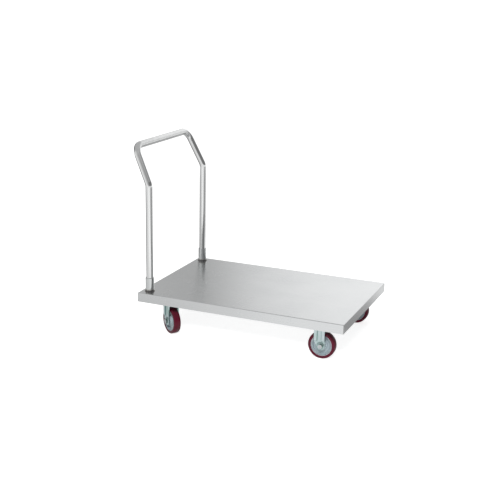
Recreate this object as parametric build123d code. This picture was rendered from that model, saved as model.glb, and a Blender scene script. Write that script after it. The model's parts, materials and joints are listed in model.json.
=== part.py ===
from build123d import *
import math
import os

# Platform cart: a folded sheet deck on channels, a bent tube handle in two collars,
# two fixed casters at the front (+X) and two swivel casters under the handle (-X).
# Millimetres, +Z up. The origin is on the floor, at the middle of the bounding box.
# Left is +Y and right is -Y.

# Deck sheet
deck_length = 1000.0
deck_width = 660.0
sheet = 1.5
rim_depth = 43.0
rim_lip = 12.0
fold_radius = 3.0

# Cross channels and ribs under the sheet
channel_depth = 30.0
channel_wall = 2.0
rib_width = 40.0
rib_wall = 1.5
rib_spacing = 200.0
rib_count = 3
weld_gap = 0.5

# Handle tube
tube_diameter = 32.0
tube_wall = 1.5
handle_height = 882.0
post_inset_end = 40.0
post_inset_side = 48.0
bend_height = 505.0
handle_rake = 81.0
handle_taper = 20.0
bend_radius = 50.0
corner_radius = 50.0

# Collars that hold the handle
collar_diameter = 40.0
collar_height = 66.0
collar_depth = 28.0
collar_floor = 2.5
collar_clearance = 0.25
collar_round = 1.0
seam_clearance = 0.1
lock_height = 34.0

# Set screws that lock the handle in its collars
screw_radius = 3.0
screw_recess = 0.5
socket_across_flats = 3.0
socket_depth = 1.8

# Hex bolts and nuts
m8_radius = 4.0
m8_across_flats = 13.0
m8_head = 5.3
m8_nut = 6.5
m12_radius = 6.0
m12_across_flats = 19.0
m12_head = 7.5
m12_nut = 10.0
thread_clearance = 0.05
thread_end = 2.0
hex_chamfer = 1.0
hex_chamfer_rise = 0.5

# Caster top plates
caster_inset_end = 116.0
fixed_inset_side = 75.0
swivel_inset_side = 86.0
plate_length = 105.0
plate_width = 85.0
plate_thickness = 4.0
plate_corner = 8.0
bolt_spacing_x = 80.0
bolt_spacing_y = 60.0
bolt_hole_clearance = 0.5
head_room = 38.0

# Swivel heads
swivel_trail = 38.0
swivel_angle = -36.0
race_space = 8.4
upper_ball_radius = 4.0
upper_ball_circle = 21.0
upper_ball_count = 15
skirt_inner = 26.0
skirt_wall = 3.5
skirt_depth = 5.5
crown_radius = 33.5
crown_lip = 2.5
crown_lip_height = 5.9
crown_hole = 9.0
lower_race_space = 5.4
lower_ball_radius = 2.5
lower_ball_circle = 13.5
lower_ball_count = 15
lower_race_radius = 19.0
lower_race_wall = 2.6
lower_race_lip = 2.0
lower_race_lip_height = 3.4
kingpin_radius = 6.5
kingpin_head_radius = 11.0
kingpin_head = 4.0
kingpin_countersink = 2.0
kingpin_chamfer = 1.3
ball_seat = 0.05

# Forks
fork_sheet = 3.5
leg_width = 50.0
leg_back = 18.0
leg_end_radius = 20.0
leg_step = 22.0
flare_drop = 25.0
pad_radius = 15.0
pad_rise = 3.0
swivel_crown_front = 8.0
crown_bend = 2.75
ridge_stop = 4.0
ridge_width = 15.0
ridge_height = 4.0
ridge_round = 3.0
groove_width = 8.0
groove_depth = 2.5

# Wheels
wheel_diameter = 125.0
tread_width = 34.0
tread_thickness = 13.5
tread_round = 6.0
core_width = 31.0
bond_clearance = 0.05
rim_ring = 6.0
web_thickness = 8.0
web_ring_radius = 34.0
web_ring_width = 4.0
web_ring_height = 1.5
web_fillet = 2.0
hub_radius = 19.5
hub_length = 36.0
bush_length = 3.5

# Wheel bearings
bearing_outer = 16.0
bearing_width = 10.0
bearing_race = 3.2
bearing_ball_circle = 11.0
bearing_ball_radius = 2.9
bearing_ball_count = 7
race_groove = 3.15
bush_radius = 8.5
axle_clearance = 0.05
cap_thickness = 1.5
cap_inner = 9.5
cap_outer = 18.5
cap_round = 0.75

# Within this distance a corner lies on the web
corner_reach = 0.01

# Heights above the floor
axle_height = wheel_diameter / 2
plate_top = wheel_diameter + head_room
plate_foot = plate_top - plate_thickness
deck_top = plate_top + channel_depth + sheet
crown_top = plate_foot - race_space
crown_foot = crown_top - fork_sheet
lower_race_top = crown_foot - lower_race_space
lower_race_foot = lower_race_top - lower_race_wall
kingpin_foot = lower_race_foot - kingpin_head
lock_level = deck_top + lock_height

# Places along and across the cart
handle_overhang = handle_rake + tube_diameter / 2 - post_inset_end
deck_centre = handle_overhang / 2
rear_edge = deck_centre - deck_length / 2
front_edge = deck_centre + deck_length / 2
post_x = rear_edge + post_inset_end
post_y = deck_width / 2 - post_inset_side
rear_caster_x = rear_edge + caster_inset_end
front_caster_x = front_edge - caster_inset_end
CASTER_PLACES = {
    "rear": (rear_caster_x, deck_width / 2 - swivel_inset_side),
    "front": (front_caster_x, deck_width / 2 - fixed_inset_side),
}
collar_radius = collar_diameter / 2
channel_width = 2 * (caster_inset_end - post_inset_end - collar_radius - weld_gap)

# Fork and wheel offsets from the wheel's middle plane
hub_end = hub_length / 2
leg_inner = hub_end + bush_length
leg_outer = leg_inner + fork_sheet
axle_seat = leg_outer + pad_rise
core_radius = axle_height - tread_thickness
leg_step_height = axle_height + leg_step
flare_height = wheel_diameter - flare_drop

SIDES = {"left": 1, "right": -1}


def tube(outer, inner, low, high):
    """A round tube standing on Z between two heights."""
    height = high - low
    base = (Align.CENTER, Align.CENTER, Align.MIN)
    solid = Cylinder(outer, height, align=base) - Cylinder(inner, height, align=base)
    return Pos(0, 0, low) * solid


def disc(radius, low, high):
    """A round disc on Z between two heights."""
    base = (Align.CENTER, Align.CENTER, Align.MIN)
    return Pos(0, 0, low) * Cylinder(radius, high - low, align=base)


def slab(x_low, x_high, y_low, y_high, z_low, z_high):
    """A block between its lowest and highest corners."""
    size = (x_high - x_low, y_high - y_low, z_high - z_low)
    low = (Align.MIN, Align.MIN, Align.MIN)
    return Pos(x_low, y_low, z_low) * Box(*size, align=low)


def across(shape):
    """Turn a shape built on Z so that its axis lies along Y."""
    return Rot(-90, 0, 0) * shape


def group(shapes):
    """Separate solids that share one node."""
    solids = []
    for shape in shapes:
        solids.extend(shape.solids())
    return Compound(children=solids)


def hexagon(across_flats, low, high, bore=0.0):
    """A hex prism on Z with its free corners taken off, as on a bolt head or a nut."""
    prism = Pos(0, 0, low) * extrude(
        RegularPolygon(across_flats / 2, 6, major_radius=False), high - low)
    corner = across_flats / 2 / math.cos(math.pi / 6)
    round_bar = disc(corner, low, high)
    ends = round_bar.edges().filter_by(GeomType.CIRCLE)
    prism = prism & chamfer(ends, hex_chamfer_rise, hex_chamfer)
    if bore > 0:
        prism = prism - disc(bore, low, high)
    return prism


# Deck and frame

def deck_sheet():
    """The folded pan: top, four rims and the lip along their foot."""
    foot = deck_top - rim_depth
    half_x = deck_length / 2
    half_y = deck_width / 2
    body = slab(-half_x, half_x, -half_y, half_y, foot, deck_top)
    body = fillet(body.edges().filter_by(Axis.Z), fold_radius)
    body = fillet(body.faces().sort_by(Axis.Z)[-1].edges(), fold_radius)
    inside = slab(-half_x + sheet, half_x - sheet, -half_y + sheet, half_y - sheet,
                  foot + sheet, deck_top - sheet)
    inner_fold = fold_radius - sheet
    inside = fillet(inside.edges().filter_by(Axis.Z), inner_fold)
    inside = fillet(inside.faces().sort_by(Axis.Z)[-1].edges(), inner_fold)
    mouth_x = half_x - rim_lip
    mouth_y = half_y - rim_lip
    mouth = slab(-mouth_x, mouth_x, -mouth_y, mouth_y, foot, foot + sheet)
    pan = Pos(deck_centre, 0, 0) * (body - inside - mouth)
    hole = disc(collar_radius + seam_clearance, deck_top - sheet, deck_top)
    for side in SIDES.values():
        pan = pan - Pos(post_x, side * post_y, 0) * hole
    return pan


def open_channel(length, width, depth, wall):
    """A folded U channel along X with its web at the foot and its flanges up."""
    half = width / 2
    outer = slab(-length / 2, length / 2, -half, half, 0, depth)
    feet = outer.edges().filter_by(Axis.X).group_by(Axis.Z)[0]
    outer = fillet(feet, fold_radius)
    inner = slab(-length / 2, length / 2, -half + wall, half - wall, wall, depth)
    feet = inner.edges().filter_by(Axis.X).group_by(Axis.Z)[0]
    return outer - fillet(feet, max(fold_radius - wall, wall / 2))


def bolt_places():
    """Bolt places on a caster plate, from the plate's middle."""
    half_x = bolt_spacing_x / 2
    half_y = bolt_spacing_y / 2
    return [(x, y) for x in (-half_x, half_x) for y in (-half_y, half_y)]


def cross_channel(end):
    """The channel across the cart that two casters bolt to."""
    x, y = CASTER_PLACES[end]
    length = deck_width - 2 * (fold_radius + weld_gap)
    channel = Rot(0, 0, 90) * open_channel(length, channel_width, channel_depth, channel_wall)
    channel = Pos(x, 0, plate_top) * channel
    hole = disc(m8_radius + bolt_hole_clearance, plate_top, plate_top + channel_wall)
    for side in SIDES.values():
        for bolt_x, bolt_y in bolt_places():
            channel = channel - Pos(x + bolt_x, side * y + bolt_y, 0) * hole
    return channel


def deck_rib(index):
    """One of the ribs that run along the cart between the cross channels."""
    reach = channel_width / 2 + weld_gap
    low = rear_caster_x + reach
    high = front_caster_x - reach
    y = (index - (rib_count - 1) / 2) * rib_spacing
    rib = open_channel(high - low, rib_width, channel_depth, rib_wall)
    return Pos((low + high) / 2, y, plate_top) * rib


# Handle and its collars

def handle():
    """The bent tube: two posts, two raked legs and the crossbar."""
    foot = deck_top - collar_depth + collar_floor + seam_clearance
    bend = deck_top + bend_height
    top = handle_height - tube_diameter / 2
    top_x = post_x - handle_rake
    top_y = post_y - handle_taper
    points = [
        (post_x, -post_y, foot),
        (post_x, -post_y, bend),
        (top_x, -top_y, top),
        (top_x, top_y, top),
        (post_x, post_y, bend),
        (post_x, post_y, foot),
    ]
    radii = [bend_radius, corner_radius, corner_radius, bend_radius]
    path = FilletPolyline(*points, radius=radii)
    start = Plane(origin=points[0], z_dir=(0, 0, 1))
    outer = tube_diameter / 2
    wall = Circle(outer) - Circle(outer - tube_wall)
    return sweep(start * wall, path=path)


def collar(side):
    """A collar through the deck, tapped through its rear for the set screw."""
    foot = deck_top - collar_depth
    top = deck_top + collar_height
    bore = tube_diameter / 2 + collar_clearance
    body = disc(collar_radius, foot, top)
    body = fillet(body.edges().group_by(Axis.Z)[-1], collar_round)
    body = body - disc(bore, foot + collar_floor, top)
    thread = Pos(0, 0, lock_level) * Rot(0, -90, 0) * disc(
        screw_radius + thread_clearance, 0, collar_radius)
    return Pos(post_x, side * post_y, 0) * (body - thread)


def lock_screws():
    """The socket set screws that hold the handle, sunk in the collars' rear."""
    tip = tube_diameter / 2 + seam_clearance
    end = collar_radius - screw_recess
    socket = Pos(0, 0, end - socket_depth) * extrude(
        RegularPolygon(socket_across_flats / 2, 6, major_radius=False), socket_depth)
    screw = Rot(0, -90, 0) * (disc(screw_radius, tip, end) - socket)
    return group(Pos(post_x, side * post_y, lock_level) * screw for side in SIDES.values())


# Caster plates and their fasteners

def plate_blank():
    """A caster's top plate with its four bolt holes."""
    half_x = plate_length / 2
    half_y = plate_width / 2
    plate = slab(-half_x, half_x, -half_y, half_y, plate_foot, plate_top)
    plate = fillet(plate.edges().filter_by(Axis.Z), plate_corner)
    hole = disc(m8_radius + bolt_hole_clearance, plate_foot, plate_top)
    for x, y in bolt_places():
        plate = plate - Pos(x, y, 0) * hole
    return plate


def each_caster_bolt(fastener):
    """The same fastener at every plate bolt of the four casters."""
    copies = []
    for caster_x, caster_y in CASTER_PLACES.values():
        for side in SIDES.values():
            for x, y in bolt_places():
                copies.append(Pos(caster_x + x, side * caster_y + y, 0) * fastener)
    return group(copies)


def caster_bolts():
    """Hex bolts up through plate and channel."""
    tip = plate_top + channel_wall + m8_nut + thread_end
    bolt = disc(m8_radius, plate_foot, tip)
    return each_caster_bolt(bolt + hexagon(m8_across_flats, plate_foot - m8_head, plate_foot))


def caster_nuts():
    """Weld nuts inside the channels."""
    seat = plate_top + channel_wall
    return each_caster_bolt(
        hexagon(m8_across_flats, seat, seat + m8_nut, m8_radius + thread_clearance))


# Swivel heads, built on the swivel axis

def swivel_plate():
    """The top plate with the pressed skirt round the upper balls."""
    skirt = tube(skirt_inner + skirt_wall, skirt_inner, plate_foot - skirt_depth, plate_foot)
    plate = plate_blank() + skirt
    pin_hole = disc(kingpin_radius + thread_clearance, plate_foot, plate_top)
    seat = Pos(0, 0, plate_top - kingpin_countersink) * Cone(
        kingpin_radius + thread_clearance,
        kingpin_radius + kingpin_countersink + thread_clearance, kingpin_countersink,
        align=(Align.CENTER, Align.CENTER, Align.MIN))
    return plate - pin_hole - seat


def kingpin():
    """The rivet that holds plate, balls, fork and lower race together."""
    pin = disc(kingpin_radius, kingpin_foot, plate_top)
    top = Pos(0, 0, plate_top - kingpin_countersink) * Cone(
        kingpin_radius, kingpin_radius + kingpin_countersink, kingpin_countersink,
        align=(Align.CENTER, Align.CENTER, Align.MIN))
    head = disc(kingpin_head_radius, kingpin_foot, lower_race_foot)
    head = chamfer(head.edges().group_by(Axis.Z)[0], kingpin_chamfer)
    return pin + top + head


def lower_race():
    """The cup that carries the lower balls."""
    cup = disc(lower_race_radius, lower_race_foot, lower_race_top + lower_race_lip_height)
    bowl = disc(lower_race_radius - lower_race_lip, lower_race_top,
                lower_race_top + lower_race_lip_height)
    bore = disc(kingpin_radius + thread_clearance, lower_race_foot, lower_race_top)
    return cup - bowl - bore


def ball_row(ball_radius, circle_radius, count, seat):
    """A ring of balls resting just above a seat."""
    level = seat + ball_radius + ball_seat
    balls = []
    for index in range(count):
        angle = 2 * math.pi * index / count
        place = Pos(circle_radius * math.cos(angle), circle_radius * math.sin(angle), level)
        balls.append(place * Sphere(ball_radius))
    return group(balls)


def upper_balls():
    """The load row, between the plate and the fork's crown."""
    return ball_row(upper_ball_radius, upper_ball_circle, upper_ball_count, crown_top)


def lower_balls():
    """The row that keeps the fork from tipping, under its crown."""
    seat = crown_foot - 2 * (lower_ball_radius + ball_seat)
    return ball_row(lower_ball_radius, lower_ball_circle, lower_ball_count, seat)


# Forks, built in the caster's own frame with the axle along Y

def leg_outline(axle_x, front_top, rear_top, front, rear, top):
    """A leg seen from the side: flared at the crown, straight, round at the axle."""
    straight = Polyline(
        (front_top, top), (front, flare_height), (front, leg_step_height),
        (rear, leg_step_height), (rear, flare_height), (rear_top, top), close=True)
    end = Pos(axle_x, axle_height) * Circle(leg_end_radius)
    step = Pos((front + rear) / 2, leg_step_height + ridge_round) * Rectangle(
        rear - front, 2 * ridge_round)
    taper = make_hull(end.edges() + step.edges())
    return make_face(straight) + taper


def leg_ridges(front, rear, top):
    """The pressed ridges along both edges of a leg, and the grooves behind them."""
    low = leg_step_height
    bars = []
    grooves = []
    for x in (front + ridge_width / 2, rear - ridge_width / 2):
        bar = slab(x - ridge_width / 2, x + ridge_width / 2,
                   leg_outer - fork_sheet / 2, leg_outer + ridge_height, low, top)
        crest = bar.edges().group_by(Axis.Y)[-1]
        bars.append(fillet(crest.filter_by(Axis.Z) + crest.group_by(Axis.Z)[0], ridge_round))
        groove_low = low + ridge_width - groove_width
        grooves.append(slab(x - groove_width / 2, x + groove_width / 2,
                            leg_inner, leg_inner + groove_depth, groove_low, top))
    return bars, grooves


def axle_pad():
    """The pad pressed outwards round the axle, and the hollow behind it, along Z."""
    base = (Align.CENTER, Align.CENTER, Align.MIN)
    wall = fork_sheet * math.tan(math.pi / 8)
    pad = Cone(pad_radius + pad_rise, pad_radius, pad_rise, align=base)
    hollow = Cone(pad_radius + pad_rise - wall, pad_radius - wall, pad_rise, align=base)
    return Pos(0, 0, leg_outer) * pad, Pos(0, 0, leg_inner) * hollow


def fork(axle_x, front_top, crown, crown_low):
    """Two legs hanging from a crown, with the axle holes through their ends."""
    rear = axle_x + leg_back
    front = rear - leg_width
    outline = leg_outline(axle_x, front_top, rear, front, rear, crown_low)
    leg = Pos(0, leg_outer, 0) * extrude(Plane.XZ * outline, fork_sheet)
    bars, grooves = leg_ridges(front, rear, crown_low - ridge_stop)
    for bar in bars:
        leg = leg + bar
    for groove in grooves:
        leg = leg - groove
    pad, hollow = axle_pad()
    leg = leg + wheel_place(pad, axle_x) - wheel_place(hollow, axle_x)
    body = crown + leg + mirror(leg, Plane.XZ)
    reach = leg_outer + ridge_height
    axle = across(disc(m12_radius + axle_clearance, -reach, reach))
    return body - Pos(axle_x, 0, axle_height) * axle


def folded_crown(x_low, x_high, low, high):
    """The flat top of a fork, with its two folds rounded."""
    crown = slab(x_low, x_high, -leg_outer, leg_outer, low, high)
    folds = crown.edges().filter_by(Axis.X).group_by(Axis.Z)[-1]
    return fillet(folds, crown_bend)


def swivel_fork():
    """The swivel caster's fork, on its swivel axis, trailing towards +X."""
    arm = folded_crown(-swivel_crown_front, swivel_trail + leg_back, crown_foot, crown_top)
    dish = disc(crown_radius, crown_foot, crown_top)
    lip = tube(crown_radius, crown_radius - crown_lip, crown_top, crown_top + crown_lip_height)
    body = fork(swivel_trail, -swivel_crown_front, arm + dish + lip, crown_foot)
    return body - disc(crown_hole, crown_foot, crown_top)


def fixed_fork():
    """The fixed caster's fork, welded under its plate."""
    top = plate_foot
    low = top - fork_sheet
    front = leg_back - leg_width
    crown = folded_crown(front, leg_back, low, top)
    return fork(0, front, crown, low)


# Wheels, built about the axle and laid along Y

def wheel_place(shape, axle_x):
    """Lay a shape built on Z along the axle."""
    return Pos(axle_x, 0, axle_height) * across(shape)


def tread():
    """The bonded tread with rounded shoulders."""
    inner = core_radius + bond_clearance
    outer = wheel_diameter / 2
    section = Pos((inner + outer) / 2, 0) * Rectangle(outer - inner, tread_width)
    shoulders = section.vertices().group_by(Axis.X)[-1]
    return revolve(Plane.XZ * fillet(shoulders, tread_round), Axis.Z)


def core():
    """The moulded core: rim, web with a raised ring, and hub with bearing seats."""
    seat_depth = bearing_width + bond_clearance
    rim = Pos(core_radius - rim_ring / 2, 0) * Rectangle(rim_ring, core_width)
    hub_wall = hub_radius - bearing_outer + bearing_race
    hub = Pos(hub_radius - hub_wall / 2, 0) * Rectangle(hub_wall, hub_length)
    web_reach = core_radius - rim_ring / 2 - hub_radius
    web = Pos(hub_radius + web_reach / 2, 0) * Rectangle(web_reach, web_thickness)
    section = rim + hub + web
    inner_corners = section.vertices().filter_by(
        lambda corner: abs(abs(corner.Y) - web_thickness / 2) < corner_reach)
    section = fillet(inner_corners, web_fillet)
    ring_height = web_thickness + 2 * web_ring_height
    section = section + Pos(web_ring_radius, 0) * Rectangle(web_ring_width, ring_height)
    seat = Pos(bearing_outer / 2, 0) * Rectangle(bearing_outer + 2 * bond_clearance, seat_depth)
    for end in (-1, 1):
        section = section - Pos(0, end * (hub_length - seat_depth) / 2) * seat
    return revolve(Plane.XZ * section, Axis.Z)


def bearing_outers():
    """Outer rings and balls of the two bearings, which turn with the wheel."""
    pieces = []
    middle = (hub_length - bearing_width) / 2
    half = bearing_width / 2
    track = Torus(bearing_ball_circle, race_groove)
    ring = tube(bearing_outer, bearing_outer - bearing_race, -half, half) - track
    for end in (-1, 1):
        pieces.append(Pos(0, 0, end * middle) * ring)
        for index in range(bearing_ball_count):
            angle = 2 * math.pi * index / bearing_ball_count
            pieces.append(Pos(bearing_ball_circle * math.cos(angle),
                              bearing_ball_circle * math.sin(angle),
                              end * middle) * Sphere(bearing_ball_radius))
    return group(pieces)


def dust_caps():
    """The two covers pressed on the hub's ends."""
    cap = tube(cap_outer, cap_inner, hub_end, hub_end + cap_thickness)
    rim = cap.edges().group_by(Axis.Z)[-1].sort_by(SortBy.LENGTH)[-1]
    cap = fillet(rim, cap_round)
    return group([cap, mirror(cap, Plane.XY)])


def axle_bushes():
    """Bearing inner rings, the spacer between them and the bushes out to the legs."""
    bore = m12_radius + axle_clearance
    half = bearing_width / 2
    middle = (hub_length - bearing_width) / 2
    track = Torus(bearing_ball_circle, race_groove)
    ring_radius = bearing_outer - 2 * bearing_race
    ring = tube(ring_radius, bore, -half, half) - track
    spacer_end = hub_end - bearing_width
    pieces = [tube(bush_radius, bore, -spacer_end, spacer_end)]
    for end in (-1, 1):
        pieces.append(Pos(0, 0, end * middle) * ring)
    bush_end = leg_inner + pad_rise
    pieces.append(tube(bush_radius, bore, hub_end, bush_end))
    pieces.append(tube(bush_radius, bore, -bush_end, -hub_end))
    return group(pieces)


def axle_bolt(side):
    """The axle bolt, its head on the cart's outer side."""
    nut_end = axle_seat + m12_nut + thread_end
    bolt = disc(m12_radius, -nut_end, axle_seat)
    bolt = bolt + hexagon(m12_across_flats, axle_seat, axle_seat + m12_head)
    return bolt if side > 0 else Rot(180, 0, 0) * bolt


def axle_nut(side):
    """The nut on the axle bolt's inner end."""
    nut = hexagon(m12_across_flats, -axle_seat - m12_nut, -axle_seat,
                  m12_radius + thread_clearance)
    return nut if side > 0 else Rot(180, 0, 0) * nut


def caster_parts(end, side_name):
    """Every node of one caster, as pairs of name and solid in its place."""
    side = SIDES[side_name]
    tag = end + "_" + side_name
    swivels = end == "rear"
    trail = swivel_trail if swivels else 0.0
    turn = swivel_angle if swivels else 0.0
    x, y = CASTER_PLACES[end]
    fixed_place = Pos(x, side * y, 0)
    turned_place = fixed_place * Rot(0, 0, turn)
    parts = {}
    if swivels:
        parts["swivel_plate_" + side_name] = fixed_place * swivel_plate()
        parts["kingpin_" + side_name] = fixed_place * kingpin()
        parts["lower_race_" + side_name] = fixed_place * lower_race()
        parts["swivel_fork_" + side_name] = turned_place * swivel_fork()
        parts["upper_balls_" + side_name] = turned_place * upper_balls()
        parts["lower_balls_" + side_name] = turned_place * lower_balls()
    else:
        parts["fixed_plate_" + side_name] = fixed_place * plate_blank()
        parts["fixed_fork_" + side_name] = fixed_place * fixed_fork()
    parts["axle_bolt_" + tag] = turned_place * wheel_place(axle_bolt(side), trail)
    parts["axle_nut_" + tag] = turned_place * wheel_place(axle_nut(side), trail)
    parts["axle_bushes_" + tag] = turned_place * wheel_place(axle_bushes(), trail)
    parts["wheel_tread_" + tag] = turned_place * wheel_place(tread(), trail)
    parts["wheel_core_" + tag] = turned_place * wheel_place(core(), trail)
    parts["wheel_bearings_" + tag] = turned_place * wheel_place(bearing_outers(), trail)
    parts["dust_caps_" + tag] = turned_place * wheel_place(dust_caps(), trail)
    return parts


def cart_parts():
    """Every node of the cart."""
    parts = {
        "deck_sheet": deck_sheet(),
        "push_handle": handle(),
        "lock_screws": lock_screws(),
        "caster_bolts": caster_bolts(),
        "caster_nuts": caster_nuts(),
    }
    for index in range(rib_count):
        parts["deck_rib_" + str(index + 1)] = deck_rib(index)
    for side_name, side in SIDES.items():
        parts["handle_collar_" + side_name] = collar(side)
    for end in CASTER_PLACES:
        parts["cross_channel_" + end] = cross_channel(end)
        for side_name in SIDES:
            parts.update(caster_parts(end, side_name))
    return parts


os.makedirs("parts", exist_ok=True)
for node, shape in cart_parts().items():
    export_step(shape, "parts/" + node + ".step")
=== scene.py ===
import json
import math

import bmesh
import bpy
from mathutils import Matrix, Vector


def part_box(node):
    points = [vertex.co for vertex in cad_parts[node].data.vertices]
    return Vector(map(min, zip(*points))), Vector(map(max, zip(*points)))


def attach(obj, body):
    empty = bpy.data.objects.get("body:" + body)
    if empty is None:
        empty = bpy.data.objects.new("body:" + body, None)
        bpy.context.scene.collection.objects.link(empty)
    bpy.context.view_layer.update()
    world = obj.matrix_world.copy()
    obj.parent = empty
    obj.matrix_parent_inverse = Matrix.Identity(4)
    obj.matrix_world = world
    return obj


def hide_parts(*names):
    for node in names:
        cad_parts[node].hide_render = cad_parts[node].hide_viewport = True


# Platform cart. Metres, +Z up, the front with the fixed casters at +X, the handle at -X.

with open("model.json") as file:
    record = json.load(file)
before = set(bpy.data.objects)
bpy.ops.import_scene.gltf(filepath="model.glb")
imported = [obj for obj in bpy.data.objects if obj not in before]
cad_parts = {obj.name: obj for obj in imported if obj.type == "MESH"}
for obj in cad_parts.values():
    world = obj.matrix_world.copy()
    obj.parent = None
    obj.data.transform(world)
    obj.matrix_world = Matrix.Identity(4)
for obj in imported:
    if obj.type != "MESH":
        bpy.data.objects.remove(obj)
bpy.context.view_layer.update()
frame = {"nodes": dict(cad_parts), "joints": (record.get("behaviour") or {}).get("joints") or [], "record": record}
NODES = frame["nodes"]
SIDES = {"left": 1, "right": -1}
MM = 0.001

# Places that the frame gives

DECK_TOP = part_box("deck_sheet")[1].z
HANDLE_LOW, HANDLE_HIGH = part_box("push_handle")
COLLAR_LOW, COLLAR_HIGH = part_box("handle_collar_left")
COLLAR_RADIUS = (COLLAR_HIGH.y - COLLAR_LOW.y) / 2
POST_X = COLLAR_HIGH.x - COLLAR_RADIUS
POST_Y = (COLLAR_HIGH.y + COLLAR_LOW.y) / 2


# Camera, fitted to the outlines of the deck, the handle and the wheels. Angles in degrees.

CAMERA_PLACE = Vector((1.6477, -4.0684, 1.6149))
CAMERA_YAW = 22.62
CAMERA_PITCH = 15.768
CAMERA_ROLL = 1.138
FOCAL_PIXELS = 968.7
IMAGE_PIXELS = 500.0
SENSOR_MM = 36.0
CLIP_END = 100.0


def make_camera():
    """The camera at the photograph's place and angle."""
    data = bpy.data.cameras.new("camera")
    data.sensor_width = SENSOR_MM
    data.lens = FOCAL_PIXELS / IMAGE_PIXELS * SENSOR_MM
    data.clip_end = CLIP_END
    camera = bpy.data.objects.new("camera", data)
    bpy.context.scene.collection.objects.link(camera)
    yaw = Matrix.Rotation(math.radians(CAMERA_YAW), 4, "Z")
    pitch = Matrix.Rotation(math.radians(90 - CAMERA_PITCH), 4, "X")
    roll = Matrix.Rotation(math.radians(CAMERA_ROLL), 4, "Z")
    camera.matrix_world = Matrix.Translation(CAMERA_PLACE) @ yaw @ pitch @ roll
    bpy.context.scene.camera = camera


# Node helpers, for shaders and for geometry

FLOAT = "NodeSocketFloat"
VECTOR = "NodeSocketVector"
COLOUR = "NodeSocketColor"
GEOMETRY = "NodeSocketGeometry"
MATERIAL = "NodeSocketMaterial"
INTEGER = "NodeSocketInt"
# Factors that leave a vector's place in the floor plan
FLAT = (1.0, 1.0, 0.0)


def srgb(red, green, blue):
    """The linear colour of a screen colour given from 0 to 255."""
    def linear(value):
        share = value / 255
        return share / 12.92 if share <= 0.04045 else ((share + 0.055) / 1.055) ** 2.4
    return (linear(red), linear(green), linear(blue), 1.0)


def grey(value):
    """A linear grey."""
    return (value, value, value, 1.0)


WHITE = grey(1.0)


class Tree:
    """Short calls for adding nodes to one node tree and wiring them."""

    def __init__(self, tree):
        self.tree = tree

    def add(self, kind, sockets=None, **settings):
        """Add a node with its settings, and its inputs by name."""
        node = self.tree.nodes.new(kind)
        for name, value in settings.items():
            setattr(node, name, value)
        for name, value in (sockets or {}).items():
            self.put(value, node.inputs[name])
        return node

    def put(self, value, socket):
        """Link an output to a socket, or set the socket to a constant."""
        if isinstance(value, bpy.types.NodeSocket):
            self.tree.links.new(value, socket)
        else:
            socket.default_value = value

    def use(self, group, **sockets):
        """Place a shader group; underscores in a keyword stand for spaces in a socket's name."""
        values = {name.replace("_", " ").title(): value for name, value in sockets.items()}
        return self.add("ShaderNodeGroup", values, node_tree=group).outputs

    def math(self, operation, first, second=0.0, clamp=False):
        node = self.add("ShaderNodeMath", operation=operation, use_clamp=clamp)
        self.put(first, node.inputs[0])
        self.put(second, node.inputs[1])
        return node.outputs[0]

    def plus(self, first, second):
        return self.math("ADD", first, second)

    def times(self, first, second):
        return self.math("MULTIPLY", first, second)

    def inverse(self, value):
        return self.math("SUBTRACT", 1.0, value, clamp=True)

    def vector(self, operation, first, second=(0.0, 0.0, 0.0)):
        node = self.add("ShaderNodeVectorMath", operation=operation)
        self.put(first, node.inputs[0])
        self.put(second, node.inputs[1])
        scalar = operation in ("LENGTH", "DISTANCE", "DOT_PRODUCT")
        return node.outputs["Value"] if scalar else node.outputs[0]

    def stretch(self, place, factors):
        return self.vector("MULTIPLY", place, factors)

    def ramp(self, value, low, high, start=0.0, end=1.0, smooth=True):
        """Go from start to end while the value goes from low to high."""
        node = self.add("ShaderNodeMapRange", {
            "Value": value, "From Min": low, "From Max": high, "To Min": start, "To Max": end})
        node.interpolation_type = "SMOOTHSTEP" if smooth else "LINEAR"
        return node.outputs["Result"]

    def mix(self, share, first, second):
        node = self.add("ShaderNodeMix", data_type="RGBA")
        self.put(share, node.inputs[0])
        self.put(first, node.inputs[6])
        self.put(second, node.inputs[7])
        return node.outputs[2]

    def noise(self, place, scale=1.0, detail=3.0, rough=0.55):
        node = self.add("ShaderNodeTexNoise", {
            "Vector": place, "Scale": scale, "Detail": detail, "Roughness": rough})
        return node.outputs["Fac"]

    def stops(self, value, stops):
        """A colour ramp from stops of place and grey value or colour."""
        node = self.add("ShaderNodeValToRGB", {"Fac": value})
        elements = node.color_ramp.elements
        while len(elements) < len(stops):
            elements.new(0.5)
        for element, (place, colour) in zip(elements, stops):
            element.position = place
            element.color = colour if isinstance(colour, tuple) else grey(colour)
        return node.outputs["Color"]

    def total(self, start, *terms):
        """The start plus each term's value times its share."""
        for value, share in terms:
            start = self.plus(start, self.times(value, share))
        return start

    def coats(self, colour, *coats):
        """The colour under each coat in turn, a mask with its strength and its colour."""
        for mask, strength, coat in coats:
            colour = self.mix(self.times(mask, strength), colour, coat)
        return colour

    def parts(self, vector):
        return self.add("ShaderNodeSeparateXYZ", {"Vector": vector}).outputs

    def bump(self, height, depth):
        node = self.add("ShaderNodeBump", {"Height": height, "Distance": depth})
        return node.outputs["Normal"]


def add_sockets(group, inputs, outputs):
    """Give a group its inputs, of name, kind and default, and its outputs."""
    for label, kind, value in inputs:
        socket = group.interface.new_socket(label, in_out="INPUT", socket_type=kind)
        if value is not None:
            socket.default_value = value
    for label, kind in outputs:
        group.interface.new_socket(label, in_out="OUTPUT", socket_type=kind)


def new_group(name, inputs, outputs):
    """A shader group with the named sockets: the group, its tree, its inputs and its end."""
    group = bpy.data.node_groups.new(name, "ShaderNodeTree")
    add_sockets(group, inputs, outputs)
    tree = Tree(group)
    given = tree.add("NodeGroupInput").outputs
    end = tree.add("NodeGroupOutput").inputs
    return group, tree, given, end


# Finishes that several materials share

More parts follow.
